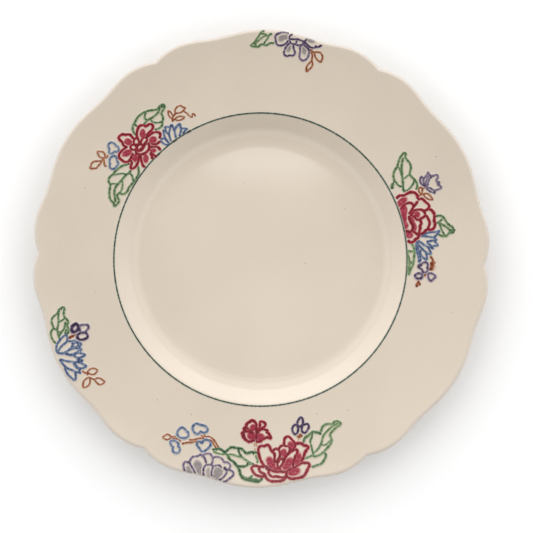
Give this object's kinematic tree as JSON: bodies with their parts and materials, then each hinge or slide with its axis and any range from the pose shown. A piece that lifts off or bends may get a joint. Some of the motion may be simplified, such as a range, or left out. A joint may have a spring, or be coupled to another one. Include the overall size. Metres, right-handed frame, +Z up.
{
  "type": "dinner plate",
  "caption": "Round earthenware dinner plate with a scalloped, notched rim, a sunk well and a foot ring, glazed cream and hand-painted with flower sprays and a thin green ring.",
  "frame": {"origin": "centre of the foot ring's standing face, on the surface the plate rests on", "axes": "+Z up, out of the well; +X through a notch of the rim; +Y through the middle of a broad lobe, where the small spray at the top is painted"},
  "size_m": [0.2648, 0.267, 0.0233],
  "materials": {
    "cream_glaze": "gloss",
    "bare_foot": "matte",
    "green_enamel": "gloss",
    "crimson_enamel": "gloss",
    "blue_enamel": "gloss",
    "violet_enamel": "gloss",
    "grey_enamel": "gloss",
    "rust_enamel": "gloss"
  },
  "bodies": {
    "root": {"plate_body": "cream_glaze"}
  },
  "joints": []
}
